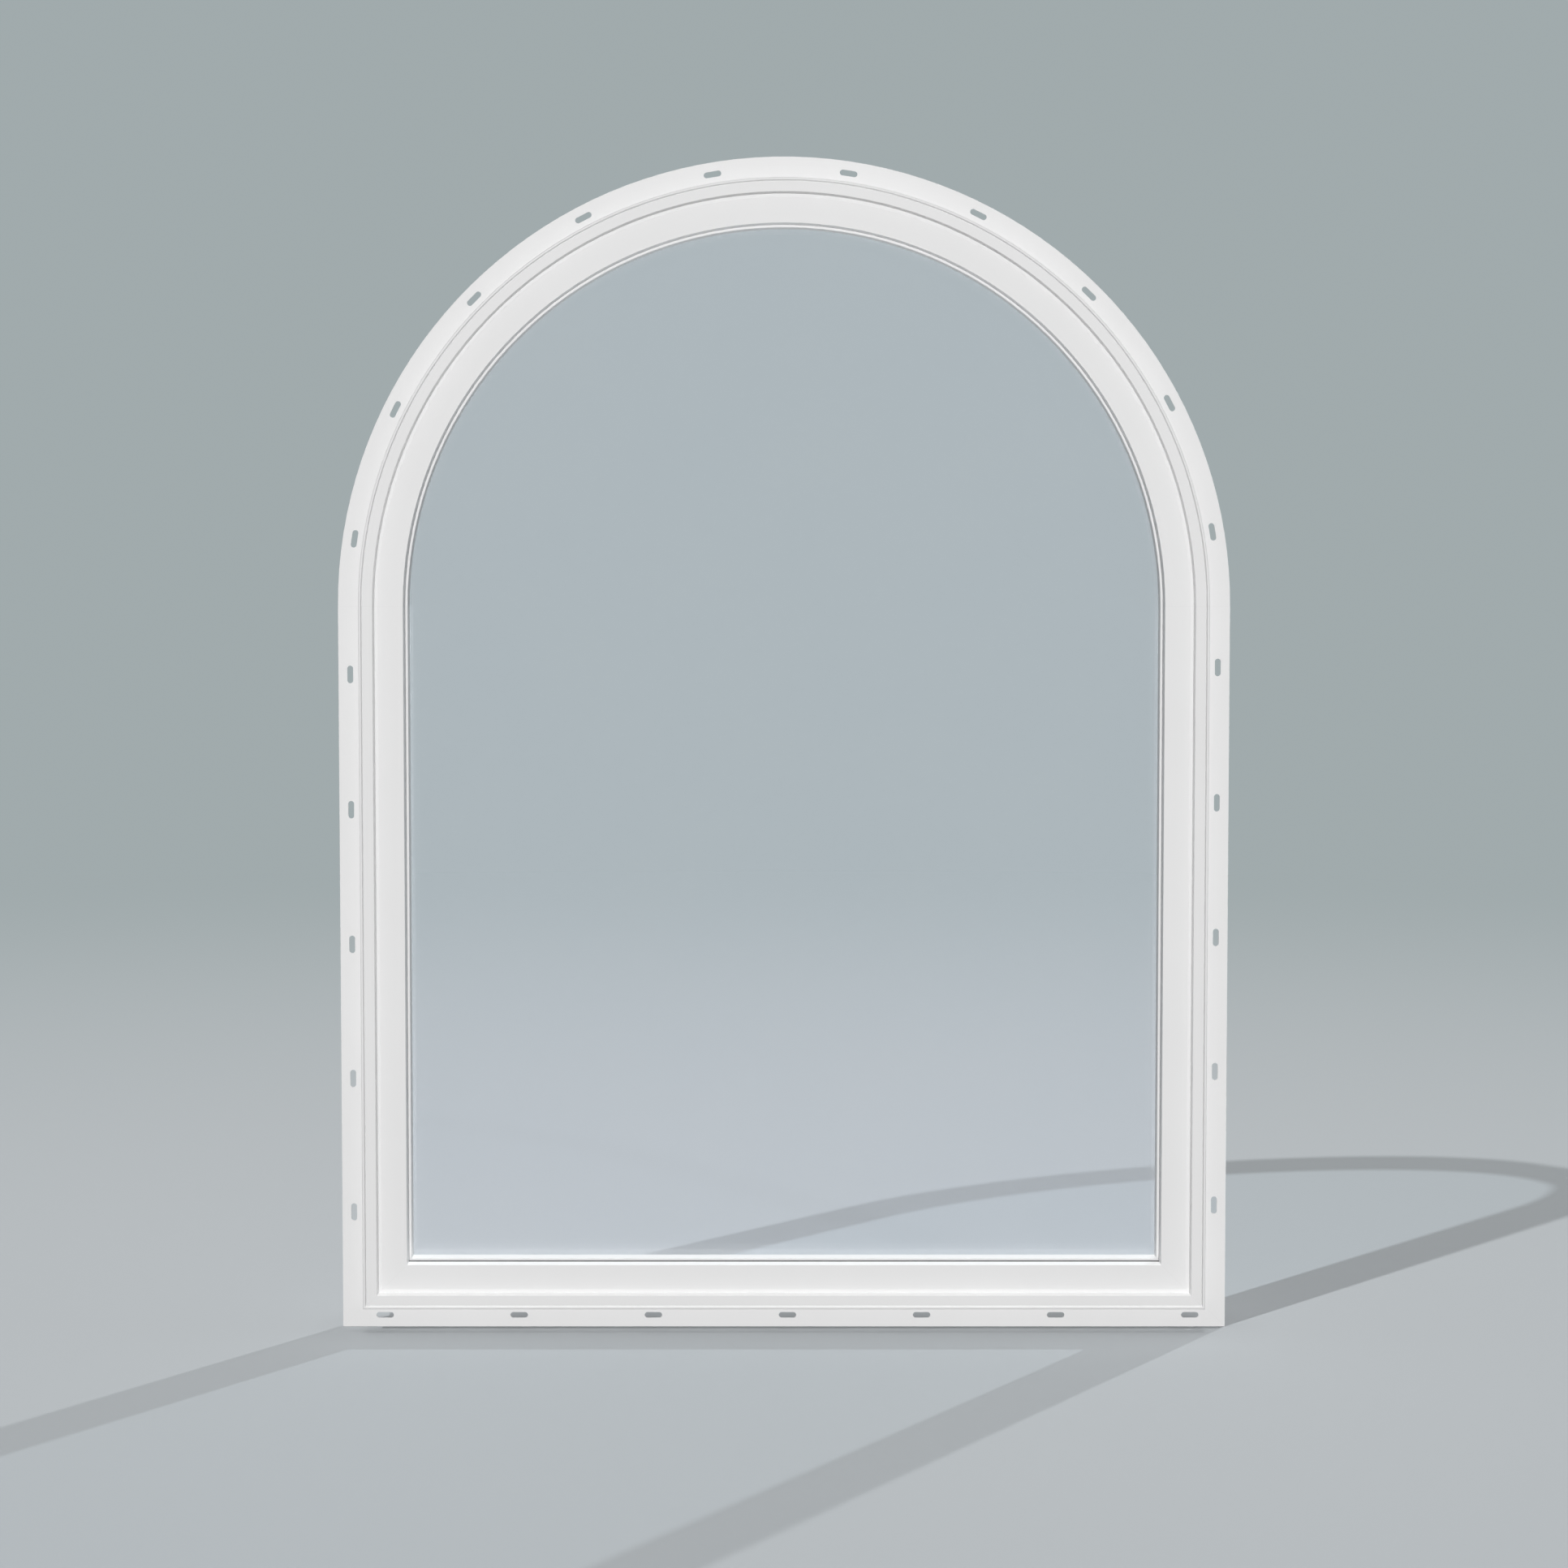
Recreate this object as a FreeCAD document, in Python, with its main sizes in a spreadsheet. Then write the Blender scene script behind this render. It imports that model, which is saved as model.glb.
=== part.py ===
import FreeCAD, Part
import Sketcher
import enum
import math
import os

# Round-topped fixed window of welded white vinyl with a slotted nailing fin round its edge.
# Millimetres. +X is to the right seen from outside, +Y goes into the wall, +Z is up. The origin is
# on the back face of the sill's nailing fin, at the middle of the fin's lower edge.

document = FreeCAD.newDocument("arched_top_window")
sheet = document.addObject("Spreadsheet::Sheet", "sizes")

DRIVING_SIZES = {
    # The frame without its fin, and the fin that is nailed to the wall.
    "frame_width": 914.4,
    "frame_height": 1219.2,
    "fin_width": 25.4,
    "fin_thickness": 2.0,
    "tongue_length": 5.0,
    "tongue_thickness": 1.2,
    "kerf_clearance": 0.3,
    # The nail slots, and the widest spacing allowed between them.
    "slot_length": 19.05,
    "slot_width": 6.35,
    "slot_spacing_limit": 152.4,
    # The main frame's section.
    "frame_projection": 31.75,
    "frame_depth": 82.55,
    "front_leg_width": 16.45,
    "front_leg_draft": 1.15,
    "groove_offset": 2.5,
    "groove_width": 1.8,
    "groove_draft": 1.2,
    "groove_depth": 3.0,
    "ledge_setback": 10.25,
    "ledge_width": 3.2,
    "back_stop_width": 24.0,
    "back_stop_thickness": 4.8,
    # The fixed sash's section.
    "sash_clearance": 0.15,
    "sash_setback": 8.75,
    "sash_face_width": 27.8,
    "sash_reveal_depth": 23.0,
    "glazing_pocket_depth": 12.0,
    # The glazing: gasket, outer stop, panes, spacer bar and inner bead.
    "gasket_depth": 6.0,
    "gasket_thickness": 1.5,
    "stop_thickness": 2.5,
    "pane_thickness": 3.0,
    "air_space": 13.0,
    "glass_edge_clearance": 3.0,
    "spacer_height": 6.5,
    "bead_depth": 6.4,
    "bead_cover": 7.15,
    "bead_nose": 2.0,
    "bead_land": 5.0,
    # The radii of the sections' corners.
    "lip_rounding": 1.8,
    "shoulder_rounding": 1.5,
    "edge_rounding": 0.8,
    "fine_rounding": 0.5,
    "crisp_rounding": 0.3,
}


class Size:
    """A length that carries its number and the sheet expression that gives it."""

    def __init__(self, number, text):
        self.number = number
        self.text = text

    def combine(self, other, sign, number):
        return Size(number, f"({self.text} {sign} {other.text})")

    def __add__(self, other):
        other = as_size(other)
        return self.combine(other, "+", self.number + other.number)

    def __sub__(self, other):
        other = as_size(other)
        return self.combine(other, "-", self.number - other.number)

    def __mul__(self, other):
        other = as_size(other)
        return self.combine(other, "*", self.number * other.number)

    def __truediv__(self, other):
        other = as_size(other)
        return self.combine(other, "/", self.number / other.number)

    def __neg__(self):
        return Size(-self.number, f"(-1 * {self.text})")


def as_size(value):
    """Turn a plain number into a Size, and leave a Size as it is."""
    if isinstance(value, Size):
        return value
    return Size(float(value), repr(value))


def fill_sheet():
    """Write every driving size to the sheet and return them by name."""
    sizes = {}
    for row, (name, value) in enumerate(DRIVING_SIZES.items(), start=1):
        sheet.set(f"A{row}", name)
        sheet.set(f"B{row}", str(value))
        sheet.setAlias(f"B{row}", name)
        sizes[name] = Size(value, f"sizes.{name}")
    document.recompute()
    return sizes


size = fill_sheet()
ZERO = Size(0.0, "0")

# Insets are measured from the fin's outer edge towards the middle of the window, depths along +Y.
outer_half_width = size["frame_width"] / 2 + size["fin_width"]
springing = size["fin_width"] + size["frame_height"] - size["frame_width"] / 2

fin_front = -size["fin_thickness"]
tongue_back = fin_front + size["tongue_thickness"]
frame_outer = size["fin_width"]
frame_front = fin_front - size["frame_projection"]
frame_back = frame_front + size["frame_depth"]

ledge_front = frame_front + size["ledge_setback"]
leg_foot = frame_outer + size["front_leg_width"]
frame_rebate = leg_foot + size["ledge_width"]

sash_front = frame_front + size["sash_setback"]
sash_back = frame_back - size["back_stop_thickness"]
sash_outer = frame_rebate + size["sash_clearance"]
sash_inner = frame_rebate + size["sash_face_width"]
stop_front = sash_front + size["sash_reveal_depth"]
gasket_front = stop_front - size["gasket_depth"]
sightline = sash_inner + size["stop_thickness"]

# The bead holds the glass from behind, and the outer stop fills what is left in front of it.
inner_pane_back = sash_back - size["bead_depth"]
inner_pane_front = inner_pane_back - size["pane_thickness"]
outer_pane_back = inner_pane_front - size["air_space"]
outer_pane_front = outer_pane_back - size["pane_thickness"]
pocket_wall = sash_inner - size["glazing_pocket_depth"]
glass_edge = pocket_wall + size["glass_edge_clearance"]


class Corner:
    """One corner of a section: its inset, its depth and the name of its rounding, if it has one."""

    def __init__(self, inset, depth, rounding=None):
        self.inset = inset
        self.depth = depth
        self.rounding = rounding


def fin_section():
    """Flat fin with a thin tongue that is pushed into a kerf in the frame."""
    tongue_tip = frame_outer + size["tongue_length"]
    return [
        Corner(ZERO, ZERO),
        Corner(frame_outer, ZERO),
        Corner(frame_outer, tongue_back),
        Corner(tongue_tip, tongue_back),
        Corner(tongue_tip, fin_front),
        Corner(ZERO, fin_front),
    ]


def frame_section():
    """Front leg with a tapered groove, a ledge and a rebate for the sash, and a thin stop at the back."""
    groove_start = frame_outer + size["groove_offset"]
    groove_end = groove_start + size["groove_width"]
    groove_floor = frame_front + size["groove_depth"]
    leg_edge = leg_foot - size["front_leg_draft"]
    stop_edge = frame_outer + size["back_stop_width"]
    kerf_end = frame_outer + size["tongue_length"] + size["kerf_clearance"]
    return [
        Corner(frame_outer, frame_front, "lip_rounding"),
        Corner(groove_start, frame_front, "fine_rounding"),
        Corner(groove_start + size["groove_draft"], groove_floor),
        Corner(groove_end, groove_floor),
        Corner(groove_end, frame_front, "crisp_rounding"),
        Corner(leg_edge, frame_front, "edge_rounding"),
        Corner(leg_foot, ledge_front),
        Corner(frame_rebate, ledge_front),
        Corner(frame_rebate, sash_back),
        Corner(stop_edge, sash_back),
        Corner(stop_edge, frame_back, "shoulder_rounding"),
        Corner(frame_outer, frame_back, "edge_rounding"),
        Corner(frame_outer, tongue_back),
        Corner(kerf_end, tongue_back),
        Corner(kerf_end, fin_front),
        Corner(frame_outer, fin_front),
    ]


def sash_section():
    """Wide flat face, a square reveal with a gasket seat at its foot and the glazing pocket."""
    gasket_seat = sash_inner - size["gasket_thickness"]
    return [
        Corner(sash_outer, sash_front, "crisp_rounding"),
        Corner(sash_inner, sash_front, "edge_rounding"),
        Corner(sash_inner, gasket_front),
        Corner(gasket_seat, gasket_front),
        Corner(gasket_seat, stop_front),
        Corner(sash_inner, stop_front),
        Corner(sash_inner, outer_pane_front),
        Corner(pocket_wall, outer_pane_front),
        Corner(pocket_wall, sash_back),
        Corner(sash_outer, sash_back),
    ]


def gasket_section():
    """Strip of gasket, flush with the sash's reveal."""
    seat = sash_inner - size["gasket_thickness"]
    return [
        Corner(seat, gasket_front),
        Corner(sash_inner, gasket_front),
        Corner(sash_inner, stop_front),
        Corner(seat, stop_front),
    ]


def stop_section():
    """Thin stop that lines the sash's reveal from the gasket back to the glass."""
    return [
        Corner(sash_inner, stop_front),
        Corner(sightline, stop_front, "fine_rounding"),
        Corner(sightline, outer_pane_front),
        Corner(sash_inner, outer_pane_front),
    ]


def spacer_section():
    """Bar between the two panes, flush with their edges."""
    spacer_edge = glass_edge + size["spacer_height"]
    return [
        Corner(glass_edge, outer_pane_back),
        Corner(spacer_edge, outer_pane_back),
        Corner(spacer_edge, inner_pane_front),
        Corner(glass_edge, inner_pane_front),
    ]


def bead_section():
    """Snap-in bead that covers the glass's edge from behind, sloped away from a short nose."""
    bead_edge = glass_edge + size["bead_cover"]
    nose_back = inner_pane_back + size["bead_nose"]
    land = pocket_wall + size["bead_land"]
    return [
        Corner(pocket_wall, inner_pane_back),
        Corner(bead_edge, inner_pane_back),
        Corner(bead_edge, nose_back, "edge_rounding"),
        Corner(land, sash_back, "edge_rounding"),
        Corner(pocket_wall, sash_back),
    ]


def new_body(label):
    """Add an empty body whose name and label are the piece's name."""
    body = document.addObject("PartDesign::Body", label)
    body.Label = label
    return body


def new_sketch(body, name, plane_role):
    """Add a sketch on one of the body's own origin planes."""
    sketch = body.newObject("Sketcher::SketchObject", f"{body.Name}_{name}")
    planes = [feature for feature in body.Origin.OriginFeatures if feature.Role == plane_role]
    sketch.AttachmentSupport = [(planes[0], "")]
    sketch.MapMode = "FlatFace"
    return sketch


class Axis(enum.IntEnum):
    """A sketch's own axes, as its constraints number them."""

    HORIZONTAL = -1
    VERTICAL = -2


class Point(enum.IntEnum):
    """The points of a line or an arc, as constraints number them."""

    START = 1
    END = 2
    CENTRE = 3


def hold(sketch, kind, geometry, point, distance, name):
    """Fix one ordinate of a sketch point and bind it to the sheet."""
    if distance.text == ZERO.text:
        axis = Axis.VERTICAL if kind == "DistanceX" else Axis.HORIZONTAL
        sketch.addConstraint(Sketcher.Constraint("PointOnObject", geometry, point, axis))
        return
    from_origin = (kind, Axis.HORIZONTAL, Point.START, geometry, point, distance.number)
    index = sketch.addConstraint(Sketcher.Constraint(*from_origin))
    sketch.renameConstraint(index, name)
    sketch.setExpression(f"Constraints.{name}", distance.text)


def hold_point(sketch, geometry, point, place, name):
    """Fix both ordinates of a sketch point."""
    hold(sketch, "DistanceX", geometry, point, place[0], f"{name}_across")
    hold(sketch, "DistanceY", geometry, point, place[1], f"{name}_up")


def vector(place):
    return FreeCAD.Vector(place[0].number, place[1].number, 0)


def draw_polygon(sketch, corners, name):
    """Draw a closed polygon and hold each of its corners."""
    first = None
    for number, corner in enumerate(corners):
        following = corners[(number + 1) % len(corners)]
        line = sketch.addGeometry(Part.LineSegment(vector(corner), vector(following)))
        first = line if first is None else first
        if line > first:
            sketch.addConstraint(Sketcher.Constraint("Coincident", line - 1, Point.END, line, Point.START))
        hold_point(sketch, line, Point.START, corner, f"{name}{number}")
    sketch.addConstraint(Sketcher.Constraint("Coincident", line, Point.END, first, Point.START))


def bind(feature, **lengths):
    """Bind a feature's lengths to the sheet."""
    for name, value in lengths.items():
        feature.setExpression(name, value.text)


def add_mitre_cut(body, corner_sets):
    """Cut the body's ends to the mitre lines, right through its depth."""
    sketch = new_sketch(body, "mitre", "XZ_Plane")
    for number, corners in enumerate(corner_sets):
        draw_polygon(sketch, corners, f"mitre{number}_")
    cut = body.newObject("PartDesign::Pocket", f"{body.Name}_mitre_cut")
    cut.Profile = sketch
    cut.SideType = "Symmetric"
    bind(cut, Length=size["frame_depth"] * 4)


def round_corners(body, feature, section, inset_of):
    """Round a member's long edges at the section's corners that have a rounding."""
    names = sorted({corner.rounding for corner in section if corner.rounding})
    for name in names:
        document.recompute()
        edges = []
        for corner in section:
            if corner.rounding == name:
                edges += edges_at(feature.Shape, corner, inset_of)
        rounded = body.newObject("PartDesign::Fillet", f"{body.Name}_{name}")
        rounded.Base = (feature, edges)
        bind(rounded, Radius=size[name])
        feature = rounded


CORNER_TOLERANCE = 100 * Part.Precision.confusion()


def edges_at(shape, corner, inset_of):
    """Name the edges whose ends both lie at a corner of the section."""
    found = []
    for number, edge in enumerate(shape.Edges, start=1):
        ends = [vertex.Point for vertex in edge.Vertexes]
        inset_misses = [abs(inset_of(end) - corner.inset.number) for end in ends]
        depth_misses = [abs(end.y - corner.depth.number) for end in ends]
        if max(inset_misses + depth_misses) < CORNER_TOLERANCE:
            found.append(f"Edge{number}")
    return found


def sill_member(label, section):
    """Member along the bottom, mitred at both ends."""
    body = new_body(label)
    sketch = new_sketch(body, "section", "YZ_Plane")
    draw_polygon(sketch, [(corner.depth, corner.inset) for corner in section], "corner")
    pad = body.newObject("PartDesign::Pad", f"{label}_run")
    pad.Profile = sketch
    pad.SideType = "Symmetric"
    bind(pad, Length=outer_half_width * 2)
    round_corners(body, pad, section, lambda point: point.z)
    reach = outer_half_width
    left_end = [(-outer_half_width, ZERO), (ZERO, reach), (-outer_half_width, reach)]
    right_end = [(outer_half_width, ZERO), (outer_half_width, reach), (ZERO, reach)]
    add_mitre_cut(body, [left_end, right_end])
    return body


def side_member(label, section, side):
    """Upright member from the bottom mitre to the springing of the arch; side is -1 or 1."""
    body = new_body(label)
    sketch = new_sketch(body, "section", "XY_Plane")
    corners = [((outer_half_width - corner.inset) * side, corner.depth) for corner in section]
    draw_polygon(sketch, corners, "corner")
    pad = body.newObject("PartDesign::Pad", f"{label}_run")
    pad.Profile = sketch
    bind(pad, Length=springing)
    round_corners(body, pad, section, lambda point: outer_half_width.number - abs(point.x))
    foot = [(outer_half_width * side, ZERO), (ZERO, outer_half_width), (ZERO, ZERO)]
    add_mitre_cut(body, [foot])
    return body


def arch_member(label, section):
    """Half-round member over the springing line."""
    body = new_body(label)
    sketch = new_sketch(body, "section", "YZ_Plane")
    corners = [(corner.depth, outer_half_width - corner.inset) for corner in section]
    draw_polygon(sketch, corners, "corner")
    turn = body.newObject("PartDesign::Revolution", f"{label}_turn")
    turn.Profile = sketch
    turn.ReferenceAxis = (sketch, ["H_Axis"])
    turn.Midplane = True
    turn.Angle = math.degrees(math.pi)
    round_corners(body, turn, section, lambda point: outer_half_width.number - math.hypot(point.x, point.z))
    body.setExpression("Placement.Base.z", springing.text)
    return body


def members(kind, names, section):
    """Make one section's sill, left, right and arched members."""
    sill_name, side_name, arch_name = names
    return {
        "sill": sill_member(f"{kind}_{sill_name}", section),
        "left": side_member(f"{kind}_{side_name}left", section, -1),
        "right": side_member(f"{kind}_{side_name}right", section, 1),
        "arch": arch_member(f"{kind}_{arch_name}", section),
    }


def glass_pane(label, front):
    """Round-topped pane set into the glazing pocket."""
    body = new_body(label)
    sketch = new_sketch(body, "outline", "XZ_Plane")
    half_width = outer_half_width - glass_edge
    low_left, low_right = (-half_width, glass_edge), (half_width, glass_edge)
    high_left, high_right = (-half_width, springing), (half_width, springing)
    bottom = sketch.addGeometry(Part.LineSegment(vector(low_left), vector(low_right)))
    right = sketch.addGeometry(Part.LineSegment(vector(low_right), vector(high_right)))
    round_top = Part.Circle(vector((ZERO, springing)), FreeCAD.Vector(0, 0, 1), half_width.number)
    top = sketch.addGeometry(Part.ArcOfCircle(round_top, 0, math.pi))
    left = sketch.addGeometry(Part.LineSegment(vector(high_left), vector(low_left)))
    for before, after in ((bottom, right), (right, top), (top, left), (left, bottom)):
        sketch.addConstraint(Sketcher.Constraint("Coincident", before, Point.END, after, Point.START))
    hold_point(sketch, bottom, Point.START, low_left, "low_left")
    hold_point(sketch, bottom, Point.END, low_right, "low_right")
    hold_point(sketch, right, Point.END, high_right, "high_right")
    hold_point(sketch, left, Point.START, high_left, "high_left")
    hold(sketch, "DistanceY", top, Point.CENTRE, springing, "arch_centre_up")
    pad = body.newObject("PartDesign::Pad", f"{label}_sheet")
    pad.Profile = sketch
    pad.Reversed = True
    bind(pad, Length=size["pane_thickness"])
    body.setExpression("Placement.Base.y", front.text)
    return body


def draw_slot(sketch, across, up):
    """Draw a round-ended slot that lies along the sketch's X about the centre given."""
    radius = size["slot_width"] / 2
    reach = (size["slot_length"] - size["slot_width"]) / 2
    low, high = up - radius, up + radius
    left, right = across - reach, across + reach
    normal = FreeCAD.Vector(0, 0, 1)
    top = sketch.addGeometry(Part.LineSegment(vector((left, high)), vector((right, high))))
    bottom = sketch.addGeometry(Part.LineSegment(vector((right, low)), vector((left, low))))
    right_round = Part.Circle(vector((right, up)), normal, radius.number)
    left_round = Part.Circle(vector((left, up)), normal, radius.number)
    right_end = sketch.addGeometry(Part.ArcOfCircle(right_round, -math.pi / 2, math.pi / 2))
    left_end = sketch.addGeometry(Part.ArcOfCircle(left_round, math.pi / 2, 3 * math.pi / 2))
    meetings = ((top, Point.START, left_end, Point.START), (top, Point.END, right_end, Point.END),
                (bottom, Point.START, right_end, Point.START), (bottom, Point.END, left_end, Point.END))
    for line, line_end, curve, curve_end in meetings:
        sketch.addConstraint(Sketcher.Constraint("Coincident", line, line_end, curve, curve_end))
    hold_point(sketch, right_end, Point.CENTRE, (right, up), "right_centre")
    hold_point(sketch, left_end, Point.CENTRE, (left, up), "left_centre")
    hold_point(sketch, top, Point.START, (left, high), "top_left")
    hold_point(sketch, top, Point.END, (right, high), "top_right")
    hold(sketch, "DistanceX", bottom, Point.START, right, "low_right_across")
    hold(sketch, "DistanceX", bottom, Point.END, left, "low_left_across")


# The slots follow the fin's centre line all the way round, half a spacing from the left springing
# point, clockwise seen from outside: over the arch, down the right side, along the sill and up again.
slot_radius = outer_half_width - size["fin_width"] / 2
slot_sill_up = size["fin_width"] / 2
arch_run = slot_radius * math.pi
side_run = springing - slot_sill_up
sill_run = slot_radius * 2
slot_path = arch_run + side_run * 2 + sill_run
slot_total = math.ceil(slot_path.number / size["slot_spacing_limit"].number)
slot_spacing = slot_path / slot_total


def slots_on(run_start, run):
    """Return how far along a run its first slot is, and how many slots it has."""
    first = math.ceil(run_start.number / slot_spacing.number - 0.5)
    beyond = math.ceil((run_start + run).number / slot_spacing.number - 0.5)
    return slot_spacing * (first + 0.5) - run_start, beyond - first


def cut_slots(body, across, up, turn_degrees, pattern_kind, spacing, count):
    """Cut a fin's first slot and repeat it; the sketch is turned so that the slot lies along its X."""
    sketch = new_sketch(body, "slot", "XZ_Plane")
    sketch.AttachmentOffset = FreeCAD.Placement(
        FreeCAD.Vector(), FreeCAD.Rotation(FreeCAD.Vector(0, 0, 1), turn_degrees.number))
    sketch.setExpression("AttachmentOffset.Rotation.Angle", turn_degrees.text)
    draw_slot(sketch, across, up)
    cut = body.newObject("PartDesign::Pocket", f"{body.Name}_slot_cut")
    cut.Profile = sketch
    cut.SideType = "Symmetric"
    bind(cut, Length=size["fin_thickness"] * 4)
    document.recompute()
    pattern = body.newObject(f"PartDesign::{pattern_kind}", f"{body.Name}_slots")
    pattern.Originals = [cut]
    if pattern_kind == "PolarPattern":
        pattern.Axis = (sketch, ["N_Axis"])
        pattern.Reversed = True
    else:
        pattern.Direction = (sketch, ["H_Axis"])
    pattern.Mode = "Spacing"
    pattern.Occurrences = count
    bind(pattern, Offset=spacing)
    body.Tip = pattern


def cut_fin_slots(fins):
    """Cut the slots of the four fins."""
    quarter_turn = as_size(math.degrees(math.pi / 2))
    first, count = slots_on(ZERO, arch_run)
    degrees_each = slot_spacing / slot_radius * math.degrees(1)
    first_angle = quarter_turn - first / slot_radius * math.degrees(1)
    cut_slots(fins["arch"], ZERO, slot_radius, first_angle, "PolarPattern", degrees_each, count)
    first, count = slots_on(arch_run, side_run)
    lowest = springing - first - slot_spacing * (count - 1)
    cut_slots(fins["right"], lowest, -slot_radius, quarter_turn, "LinearPattern", slot_spacing, count)
    first, count = slots_on(arch_run + side_run, sill_run)
    leftmost = slot_radius - first - slot_spacing * (count - 1)
    cut_slots(fins["sill"], leftmost, slot_sill_up, ZERO, "LinearPattern", slot_spacing, count)
    first, count = slots_on(arch_run + side_run + sill_run, side_run)
    cut_slots(fins["left"], slot_sill_up + first, slot_radius, quarter_turn, "LinearPattern",
              slot_spacing, count)


def check_document(pieces):
    """Stop if any object failed to compute or any piece is not one valid solid."""
    for thing in document.Objects:
        if "Invalid" in thing.State or "Error" in thing.State:
            raise RuntimeError(f"{thing.Name} did not compute: {thing.State}")
    for piece in pieces:
        if piece.Shape.isNull() or not piece.Shape.isValid() or len(piece.Shape.Solids) != 1:
            raise RuntimeError(f"{piece.Label} is not one valid solid")


fins = members("nailing_fin", ("sill", "", "arch"), fin_section())
cut_fin_slots(fins)
groups = [
    fins,
    members("frame", ("sill", "jamb_", "arched_head"), frame_section()),
    members("sash", ("bottom_rail", "stile_", "arched_rail"), sash_section()),
    members("glazing_gasket", ("sill", "", "arch"), gasket_section()),
    members("glazing_stop", ("sill", "", "arch"), stop_section()),
    members("spacer_bar", ("sill", "", "arch"), spacer_section()),
    members("interior_bead", ("sill", "", "arch"), bead_section()),
]
pieces = [body for group in groups for body in group.values()]
pieces.append(glass_pane("outer_glass_pane", outer_pane_front))
pieces.append(glass_pane("inner_glass_pane", inner_pane_front))

document.recompute()
check_document(pieces)
os.makedirs("parts", exist_ok=True)
for piece in pieces:
    piece.Shape.exportStep(os.path.join("parts", f"{piece.Label}.step"))
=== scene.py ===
import math

import bpy
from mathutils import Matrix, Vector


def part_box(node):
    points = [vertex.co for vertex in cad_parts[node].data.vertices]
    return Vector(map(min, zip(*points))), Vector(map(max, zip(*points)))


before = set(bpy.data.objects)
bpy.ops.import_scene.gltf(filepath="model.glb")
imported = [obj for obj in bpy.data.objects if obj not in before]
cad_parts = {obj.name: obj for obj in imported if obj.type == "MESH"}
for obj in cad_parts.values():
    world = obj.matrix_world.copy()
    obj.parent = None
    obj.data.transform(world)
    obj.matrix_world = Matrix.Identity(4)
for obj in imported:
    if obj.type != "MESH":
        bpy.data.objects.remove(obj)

# A new Blender file's own cube, light and camera go.
for leftover in ("Cube", "Light", "Camera"):
    if leftover in bpy.data.objects:
        bpy.data.objects.remove(bpy.data.objects[leftover])
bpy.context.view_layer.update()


# The main frame: sill, two jambs and an arched head of one hollow white PVC extrusion. The sill and
# jambs are mitred and the head is bent warm to its half circle, and all four are heat-welded together.
arch_low, arch_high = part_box("nailing_fin_arch")
OUTER_RADIUS = arch_high.x
SPRINGING = arch_low.z
WELD_HALF_WIDTH = 0.0005
CORNER_REACH = 0.12
DIE_LINE_SCALE = 900.0
PEEL_SCALE = 420.0
CLOUD_SCALE = 7.0
PEEL_HEIGHT = 0.00008


def add_node(material, kind, inputs=None, **settings):
    """A new node of a material or of the world, with its inputs as values or as sockets that feed them."""
    tree = material.node_tree
    node = tree.nodes.new(kind)
    for name, value in settings.items():
        setattr(node, name, value)
    for name, value in (inputs or {}).items():
        if isinstance(value, bpy.types.NodeSocket):
            tree.links.new(value, node.inputs[name])
        else:
            node.inputs[name].default_value = value
    return node


def calculate(material, operation, first, second=0.0):
    """The output of one Math node."""
    return add_node(material, "ShaderNodeMath", {0: first, 1: second}, operation=operation).outputs[0]


def remap(material, value, low, high, to_low, to_high):
    """A value moved from one range to another and held there."""
    ends = {"Value": value, "From Min": low, "From Max": high, "To Min": to_low, "To Max": to_high}
    return add_node(material, "ShaderNodeMapRange", ends).outputs["Result"]


def noise(material, place, scale, detail):
    """A smooth random pattern from 0 to 1."""
    sockets = {"Vector": place, "Scale": scale, "Detail": detail, "Roughness": 0.55}
    return add_node(material, "ShaderNodeTexNoise", sockets).outputs["Fac"]


def tint(material, share, dark, light):
    """A colour between two others."""
    sockets = {"Factor": share, 6: (*dark, 1.0), 7: (*light, 1.0)}
    return add_node(material, "ShaderNodeMix", sockets, data_type="RGBA").outputs[2]


def new_material(name):
    """A material with its Principled shader."""
    material = bpy.data.materials.new(name)
    material.use_nodes = True
    return material, material.node_tree.nodes["Principled BSDF"]


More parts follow.
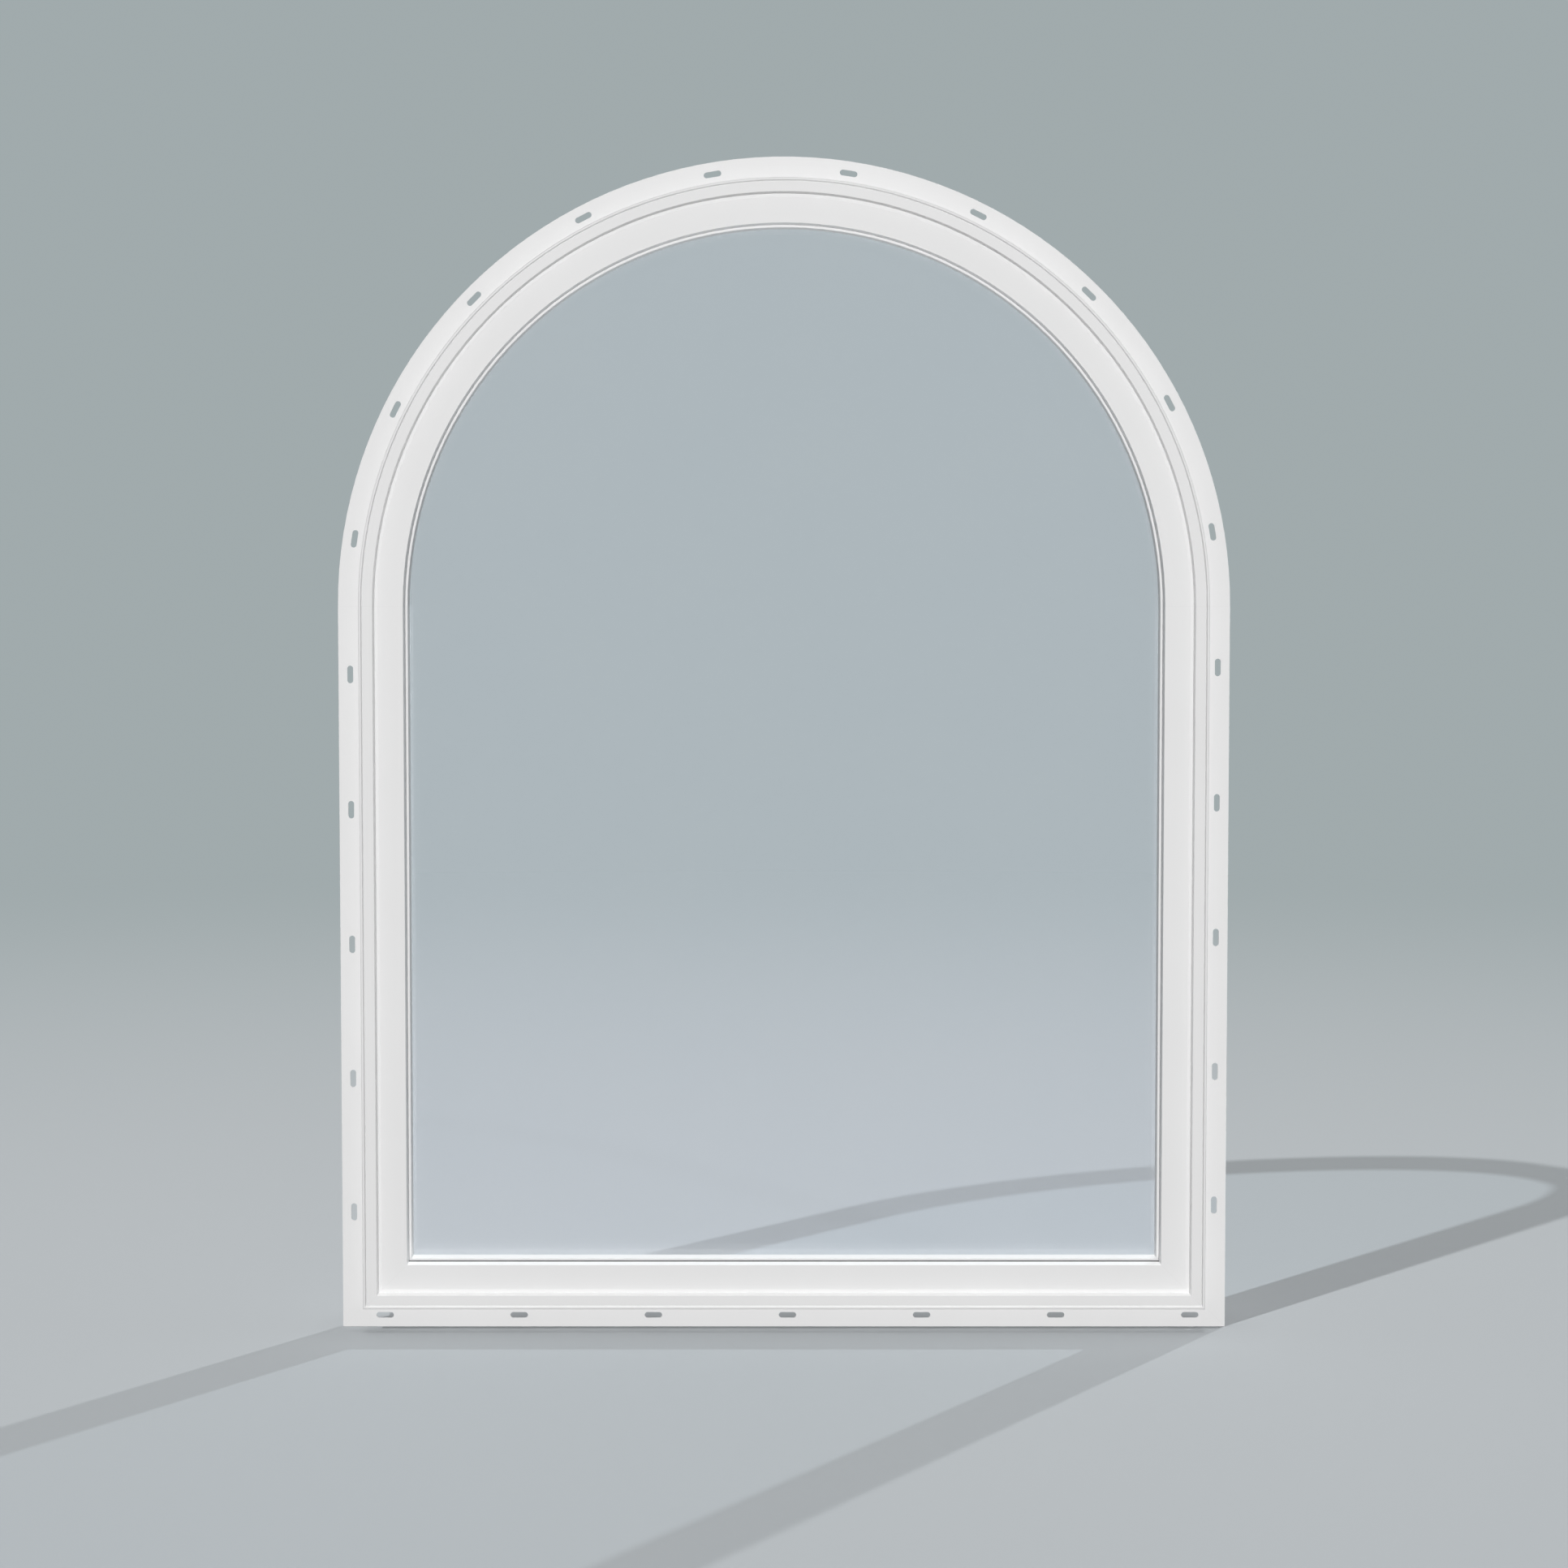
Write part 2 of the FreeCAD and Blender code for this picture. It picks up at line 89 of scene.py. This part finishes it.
def round_the_window(material):
    """Where a point lies in the section that runs round the window: how far in from the fin's edge,
    how deep, and how far along the run, with how close it is to a welded corner or arch joint."""
    place = add_node(material, "ShaderNodeTexCoord").outputs["Object"]
    axes = add_node(material, "ShaderNodeSeparateXYZ", {"Vector": place}).outputs
    side = calculate(material, "SUBTRACT", OUTER_RADIUS, calculate(material, "ABSOLUTE", axes["X"]))
    rise = calculate(material, "SUBTRACT", axes["Z"], SPRINGING)
    from_centre = add_node(material, "ShaderNodeCombineXYZ", {"X": axes["X"], "Z": rise}).outputs[0]
    radius = add_node(material, "ShaderNodeVectorMath", {0: from_centre}, operation="LENGTH").outputs["Value"]
    in_arch = calculate(material, "GREATER_THAN", rise, 0.0)
    straight = calculate(material, "MINIMUM", side, axes["Z"])
    curved = calculate(material, "SUBTRACT", OUTER_RADIUS, radius)
    inset = add_node(material, "ShaderNodeMix", {"Factor": in_arch, 2: straight, 3: curved}).outputs[0]
    section = add_node(material, "ShaderNodeCombineXYZ", {"X": inset, "Y": axes["Y"]}).outputs[0]
    turn = calculate(material, "ARCTAN2", rise, axes["X"])
    on_side = calculate(material, "LESS_THAN", side, axes["Z"])
    flat_run = add_node(material, "ShaderNodeMix", {"Factor": on_side, 2: axes["X"], 3: axes["Z"]}).outputs[0]
    bent_run = calculate(material, "MULTIPLY", turn, radius)
    along = add_node(material, "ShaderNodeMix", {"Factor": in_arch, 2: flat_run, 3: bent_run}).outputs[0]
    mitre = calculate(material, "ABSOLUTE", calculate(material, "SUBTRACT", side, axes["Z"]))
    above_corner = calculate(material, "GREATER_THAN", axes["Z"], CORNER_REACH)
    corner = calculate(material, "ADD", mitre, above_corner)
    weld = calculate(material, "MINIMUM", corner, calculate(material, "ABSOLUTE", rise))
    return {"place": place, "section": section, "depth": axes["Y"], "along": along, "weld": weld}


def extruded_vinyl(name, dark, light, smooth, rough):
    """White PVC as it leaves the die: fine lines along the run, a faint orange peel, a soft gloss and
    a hairline where two lengths are welded."""
    material, shader = new_material(name)
    spot = round_the_window(material)
    die_lines = noise(material, spot["section"], DIE_LINE_SCALE, 3.0)
    peel = noise(material, spot["place"], PEEL_SCALE, 1.0)
    cloud = noise(material, spot["place"], CLOUD_SCALE, 2.0)
    hairline = remap(material, spot["weld"], 0.0, WELD_HALF_WIDTH, 1.0, 0.0)
    shade = calculate(material, "ADD", calculate(material, "MULTIPLY", die_lines, 0.35),
                      calculate(material, "MULTIPLY", cloud, 0.65))
    worn = calculate(material, "SUBTRACT", shade, calculate(material, "MULTIPLY", hairline, 0.6))
    gloss = calculate(material, "ADD", calculate(material, "MULTIPLY", die_lines, 0.6),
                      calculate(material, "MULTIPLY", peel, 0.4))
    raised = calculate(material, "SUBTRACT", gloss, hairline)
    bump = add_node(material, "ShaderNodeBump", {"Height": raised, "Strength": 0.25, "Distance": PEEL_HEIGHT})
    colour = tint(material, remap(material, worn, 0.1, 0.9, 0.0, 1.0), dark, light)
    links = material.node_tree.links
    links.new(colour, shader.inputs["Base Color"])
    links.new(remap(material, gloss, 0.25, 0.75, smooth, rough), shader.inputs["Roughness"])
    links.new(bump.outputs["Normal"], shader.inputs["Normal"])
    return material


def dress(material, nodes):
    """Gives each of these pieces the finish."""
    for node in nodes:
        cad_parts[node].data.materials.clear()
        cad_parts[node].data.materials.append(material)


frame_vinyl = extruded_vinyl("frame_vinyl", (0.777, 0.777, 0.777), (0.822, 0.822, 0.822), 0.3, 0.42)
dress(frame_vinyl, ["frame_sill", "frame_jamb_left", "frame_jamb_right", "frame_arched_head"])


# The nailing fin: a thin flexible PVC strip pushed into a kerf in the frame and nailed to the wall
# through its punched slots. It is the same compound as the frame, a little duller.
SIDES = ("sill", "left", "right", "arch")
fin_vinyl = extruded_vinyl("fin_vinyl", (0.777, 0.777, 0.777), (0.822, 0.822, 0.822), 0.36, 0.5)
dress(fin_vinyl, ["nailing_fin_" + side for side in SIDES])


# The fixed sash: a welded ring of deeper vinyl section that sits in the frame's rebate and holds the
# insulating glass. The outer stops and the interior beads are thin snap-in strips of the same vinyl.
sash_vinyl = extruded_vinyl("sash_vinyl", (0.782, 0.782, 0.782), (0.827, 0.827, 0.827), 0.28, 0.4)
dress(sash_vinyl, ["sash_bottom_rail", "sash_stile_left", "sash_stile_right", "sash_arched_rail"])
dress(sash_vinyl, ["glazing_stop_" + side for side in SIDES])
dress(sash_vinyl, ["interior_bead_" + side for side in SIDES])


# The glazing gaskets: rubber strips at the foot of the sash's reveal, pressed in dry. The sill's is
# black, and those of the sides and the arch are light grey.
RIB_SCALE = 1600.0
GRAIN_SCALE = 2200.0
DUST_SCALE = 60.0
GRAIN_HEIGHT = 0.0001


def gasket_rubber(name, dark, light):
    """Extruded rubber: fine ribs along the run and a grainy, dull face."""
    material, shader = new_material(name)
    spot = round_the_window(material)
    ribs = noise(material, spot["section"], RIB_SCALE, 1.0)
    grain = noise(material, spot["place"], GRAIN_SCALE, 2.0)
    dust = noise(material, spot["place"], DUST_SCALE, 3.0)
    raised = calculate(material, "ADD", ribs, grain)
    bump = add_node(material, "ShaderNodeBump", {"Height": raised, "Strength": 0.4, "Distance": GRAIN_HEIGHT})
    links = material.node_tree.links
    links.new(tint(material, dust, dark, light), shader.inputs["Base Color"])
    links.new(remap(material, grain, 0.3, 0.7, 0.55, 0.8), shader.inputs["Roughness"])
    links.new(bump.outputs["Normal"], shader.inputs["Normal"])
    return material


dress(gasket_rubber("black_rubber", (0.012, 0.012, 0.013), (0.03, 0.03, 0.032)), ["glazing_gasket_sill"])
dress(gasket_rubber("grey_rubber", (0.56, 0.56, 0.57), (0.66, 0.66, 0.67)),
      ["glazing_gasket_left", "glazing_gasket_right", "glazing_gasket_arch"])


# The spacer bars: folded aluminium channel between the two panes, filled with drying beads that breathe
# through a row of fine slits, and stuck to each pane with a line of black butyl.
spacer_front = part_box("spacer_bar_sill")[0].y
spacer_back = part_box("spacer_bar_sill")[1].y
BUTYL_LINE = 0.0005
SLIT_PITCH = 0.005
SLIT_LENGTH = 0.0018
SLIT_WIDTH = 0.0003
ROLLING_SCALE = 2500.0
ROLLING_HEIGHT = 0.00005
BUTYL_AND_SLIT_SHADE_BLACK = (0.012, 0.012, 0.012, 1.0)

spacer_metal, spacer_shader = new_material("spacer_aluminium")
spacer_spot = round_the_window(spacer_metal)
from_middle = calculate(spacer_metal, "SUBTRACT", spacer_spot["depth"], (spacer_front + spacer_back) / 2)
middle = calculate(spacer_metal, "ABSOLUTE", from_middle)
rolling = noise(spacer_metal, spacer_spot["section"], ROLLING_SCALE, 2.0)
# The slits along the run are painted black as painted shade for the open slits. The butyl lines at the
# spacer's faces are the sealant's own black.
step = calculate(spacer_metal, "PINGPONG", spacer_spot["along"], SLIT_PITCH / 2)
in_length = calculate(spacer_metal, "LESS_THAN", step, SLIT_LENGTH / 2)
in_width = calculate(spacer_metal, "LESS_THAN", middle, SLIT_WIDTH / 2)
painted_slit_shade = calculate(spacer_metal, "MULTIPLY", in_length, in_width)
butyl = calculate(spacer_metal, "GREATER_THAN", middle, (spacer_back - spacer_front) / 2 - BUTYL_LINE)
butyl_and_slit_shade = calculate(spacer_metal, "MAXIMUM", painted_slit_shade, butyl)
metal_colour = tint(spacer_metal, rolling, (0.62, 0.63, 0.64), (0.78, 0.79, 0.8))
# One black goes to both: the butyl's own colour and the painted shade in the slits.
with_butyl_and_slit_shade = {"Factor": butyl_and_slit_shade, 6: metal_colour, 7: BUTYL_AND_SLIT_SHADE_BLACK}
spacer_colour = add_node(spacer_metal, "ShaderNodeMix", with_butyl_and_slit_shade, data_type="RGBA")
spacer_links = spacer_metal.node_tree.links
spacer_links.new(spacer_colour.outputs[2], spacer_shader.inputs["Base Color"])
spacer_links.new(remap(spacer_metal, rolling, 0.3, 0.7, 0.3, 0.5), spacer_shader.inputs["Roughness"])
spacer_links.new(calculate(spacer_metal, "SUBTRACT", 1.0, butyl_and_slit_shade), spacer_shader.inputs["Metallic"])
rolled_face = {"Height": rolling, "Strength": 0.2, "Distance": ROLLING_HEIGHT}
spacer_bump = add_node(spacer_metal, "ShaderNodeBump", rolled_face)
spacer_links.new(spacer_bump.outputs["Normal"], spacer_shader.inputs["Normal"])
dress(spacer_metal, ["spacer_bar_" + side for side in SIDES])


# The insulating glass: two 3 mm panes of clear float glass cut to the arch, sealed to the spacer as one
# unit and set in the sash against the stops. A faint coating gives it a cool cast. Lamps shine through.
SMEAR_SCALE = 9.0
ROLL_SCALE = 2.5
ROLL_HEIGHT = 0.001
CLEARNESS = 0.965
GLASS_IOR = 1.52
LAMP_TINT = (0.95, 0.97, 0.98, 1.0)

pane_glass, glass_shader = new_material("pane_glass")
glass_place = add_node(pane_glass, "ShaderNodeTexCoord").outputs["Object"]
smear = noise(pane_glass, glass_place, SMEAR_SCALE, 4.0)
roll = noise(pane_glass, glass_place, ROLL_SCALE, 1.0)
glass_shader.inputs["Transmission Weight"].default_value = CLEARNESS
glass_shader.inputs["IOR"].default_value = GLASS_IOR
rolled_glass = {"Height": roll, "Strength": 0.05, "Distance": ROLL_HEIGHT}
glass_bump = add_node(pane_glass, "ShaderNodeBump", rolled_glass)
glass_colour = tint(pane_glass, smear, (0.95, 0.97, 0.995), (0.965, 0.98, 1.0))
glass_links = pane_glass.node_tree.links
glass_links.new(glass_colour, glass_shader.inputs["Base Color"])
glass_links.new(remap(pane_glass, smear, 0.45, 0.8, 0.0, 0.03), glass_shader.inputs["Roughness"])
glass_links.new(glass_bump.outputs["Normal"], glass_shader.inputs["Normal"])
lamp_ray = add_node(pane_glass, "ShaderNodeLightPath").outputs["Is Shadow Ray"]
clear = add_node(pane_glass, "ShaderNodeBsdfTransparent", {"Color": LAMP_TINT})
for_lamps = {0: lamp_ray, 1: glass_shader.outputs[0], 2: clear.outputs[0]}
lets_light = add_node(pane_glass, "ShaderNodeMixShader", for_lamps)
glass_links.new(lets_light.outputs[0], pane_glass.node_tree.nodes["Material Output"].inputs["Surface"])
dress(pane_glass, ["outer_glass_pane", "inner_glass_pane"])


# The stage: a wide pale grey floor, painted dull, that fades into a plain backdrop of the same hue. It is
# seen directly and through the glass. Bounced and mirrored rays meet an even room in its place.
FLOOR_RADIUS = 40.0
FLOOR_DROP = 0.0002
FLOOR_COLOUR = (0.46, 0.487, 0.505, 1.0)
FADE_START = 0.2
FADE_END = 6.0
BACKDROP = (0.356, 0.405, 0.415, 1.0)
ROOM_LIGHT = 0.2
MIRRORED_ROOM = (0.78, 0.77, 0.79, 1.0)

bpy.ops.object.select_all(action="DESELECT")
bpy.ops.mesh.primitive_circle_add(vertices=96, radius=FLOOR_RADIUS, fill_type="NGON",
                                  location=(0.0, 0.0, -FLOOR_DROP))
floor = bpy.context.object
floor.name = "floor"
floor_paint, floor_shader = new_material("floor_paint")
floor_place = add_node(floor_paint, "ShaderNodeTexCoord").outputs["Object"]
distance = add_node(floor_paint, "ShaderNodeVectorMath", {0: floor_place}, operation="LENGTH")
fade_ends = {"Value": distance.outputs["Value"], "From Min": FADE_START, "From Max": FADE_END}
fade = add_node(floor_paint, "ShaderNodeMapRange", fade_ends, interpolation_type="SMOOTHSTEP")
floor_shader.inputs["Base Color"].default_value = FLOOR_COLOUR
floor_shader.inputs["Roughness"].default_value = 0.9
floor_shader.inputs["Specular IOR Level"].default_value = 0.1
far_floor = add_node(floor_paint, "ShaderNodeEmission", {"Color": BACKDROP})
near_to_far = {0: fade.outputs[0], 1: floor_shader.outputs[0], 2: far_floor.outputs[0]}
shown_floor = add_node(floor_paint, "ShaderNodeMixShader", near_to_far)
floor_rays = add_node(floor_paint, "ShaderNodeLightPath").outputs
looks_at_floor = calculate(floor_paint, "MAXIMUM", floor_rays["Is Camera Ray"],
                           floor_rays["Is Transmission Ray"])
even_grey = add_node(floor_paint, "ShaderNodeEmission", {"Strength": ROOM_LIGHT})
mirrored_grey = add_node(floor_paint, "ShaderNodeEmission", {"Color": MIRRORED_ROOM})
bounced_or_mirrored = {0: floor_rays["Is Glossy Ray"], 1: even_grey.outputs[0], 2: mirrored_grey.outputs[0]}
even_room = add_node(floor_paint, "ShaderNodeMixShader", bounced_or_mirrored)
room_or_floor = {0: looks_at_floor, 1: even_room.outputs[0], 2: shown_floor.outputs[0]}
floor_mix = add_node(floor_paint, "ShaderNodeMixShader", room_or_floor)
floor_paint.node_tree.links.new(floor_mix.outputs[0],
                                floor_paint.node_tree.nodes["Material Output"].inputs["Surface"])
floor.data.materials.append(floor_paint)


# The light: an even grey room, and wide softboxes all round that only the window takes, some of them only
# its sill or the inside of its arch. The floor has its own three lamps: one overhead, one from the front
# left and one from behind on the right, which cast the window's shadows.
world = bpy.data.worlds.new("room")
bpy.context.scene.world = world
world.use_nodes = True
world.node_tree.nodes.clear()
rays = add_node(world, "ShaderNodeLightPath").outputs
seen = calculate(world, "MAXIMUM", rays["Is Camera Ray"], rays["Is Transmission Ray"])
backdrop = add_node(world, "ShaderNodeBackground", {"Color": BACKDROP})
mirrored = add_node(world, "ShaderNodeBackground", {"Color": MIRRORED_ROOM})
ambient = add_node(world, "ShaderNodeBackground", {"Color": (1.0, 1.0, 1.0, 1.0), "Strength": ROOM_LIGHT})
lit_rays = {0: rays["Is Glossy Ray"], 1: ambient.outputs[0], 2: mirrored.outputs[0]}
lit = add_node(world, "ShaderNodeMixShader", lit_rays)
shown = add_node(world, "ShaderNodeMixShader", {0: seen, 1: lit.outputs[0], 2: backdrop.outputs[0]})
add_node(world, "ShaderNodeOutputWorld", {"Surface": shown.outputs[0]})


def add_sun(name, azimuth, elevation, spread, level):
    """An even lamp far off in a direction: azimuth from the front towards the right, in degrees. A
    level of 1 shows a white face that looks straight at it as white."""
    turn = (math.radians(90.0 - elevation), 0.0, math.radians(azimuth))
    bpy.ops.object.light_add(type="SUN", rotation=turn)
    sun = bpy.context.object
    sun.name = name
    sun.data.angle = math.radians(spread)
    sun.data.energy = math.pi * level
    return sun


only_window = bpy.data.collections.new("only_window")
only_sill = bpy.data.collections.new("only_sill")
arch_reveal = bpy.data.collections.new("arch_reveal")
for node in ("sash_arched_rail", "glazing_gasket_arch", "glazing_stop_arch"):
    arch_reveal.objects.link(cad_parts[node])
sill_reveal = bpy.data.collections.new("sill_reveal")
for node in ("sash_bottom_rail", "glazing_stop_sill"):
    sill_reveal.objects.link(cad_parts[node])
for node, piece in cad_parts.items():
    only_window.objects.link(piece)
    if node.endswith("sill") or node == "sash_bottom_rail":
        only_sill.objects.link(piece)
only_floor = bpy.data.collections.new("only_floor")
only_floor.objects.link(floor)

for name, azimuth, elevation, spread, level, shadow, lights in (
    ("rear_softbox", 180.0, 20.0, 10.0, 0.5, False, only_window),
    ("left_softbox", -90.0, 5.0, 10.0, 0.08, True, only_window),
    ("right_softbox", 90.0, 5.0, 10.0, 0.08, True, only_window),
    ("sill_softbox", 0.0, 90.0, 4.0, 0.28, False, only_sill),
    ("reveal_softbox", 0.0, 90.0, 4.0, 0.27, False, sill_reveal),
    ("low_softbox", 0.0, -90.0, 4.0, 0.27, False, arch_reveal),
    ("through_the_glass", 165.0, 43.0, 10.0, 0.4, True, only_window),
    ("front_left_lamp", -39.0, 42.3, 0.8, 0.55, True, only_floor),
    ("back_right_lamp", 149.0, 35.0, 0.8, 0.335, True, only_floor),
    ("overhead_lamp", 0.0, 90.0, 10.0, 0.268, True, only_floor),
):
    lamp = add_sun(name, azimuth, elevation, spread, level)
    lamp.data.use_shadow = shadow
    lamp.visible_glossy = False
    lamp.visible_transmission = False
    lamp.light_linking.receiver_collection = lights

# The front softbox stands near enough for its light to spread, so its energy is set for its distance.
FRONT_PLACE = (0.0, -8.0, 1.9)
FRONT_RADIUS = 0.6
FRONT_LEVEL = 0.72
front_reach = math.dist(FRONT_PLACE, (0.0, 0.0, 0.0))
bpy.ops.object.light_add(type="POINT", radius=FRONT_RADIUS, location=FRONT_PLACE)
front_softbox = bpy.context.object
front_softbox.name = "front_softbox"
front_softbox.data.energy = 4.0 * math.pi ** 2 * front_reach ** 2 * FRONT_LEVEL
front_softbox.data.use_shadow = False
front_softbox.visible_glossy = False
front_softbox.visible_transmission = False
front_softbox.light_linking.receiver_collection = only_window


# The camera: a long lens straight in front of the window's middle, a little under two thirds of the way up
# and tipped down slightly. Its place and tilt were worked out from the window's straight edges and arch.
CAMERA_PLACE = (0.0, -3.6583, 0.8057)
LENS_WIDTH = 36.0
PHOTO_WIDTH = 1932
FOCAL_PIXELS = 4158.0
TIPPED_DOWN = 3.2965

bpy.ops.object.camera_add(location=CAMERA_PLACE, rotation=(math.radians(90.0 - TIPPED_DOWN), 0.0, 0.0))
camera = bpy.context.object
camera.data.sensor_width = LENS_WIDTH
camera.data.lens = FOCAL_PIXELS * LENS_WIDTH / PHOTO_WIDTH
scene = bpy.context.scene
scene.camera = camera
scene.view_settings.view_transform = "Standard"
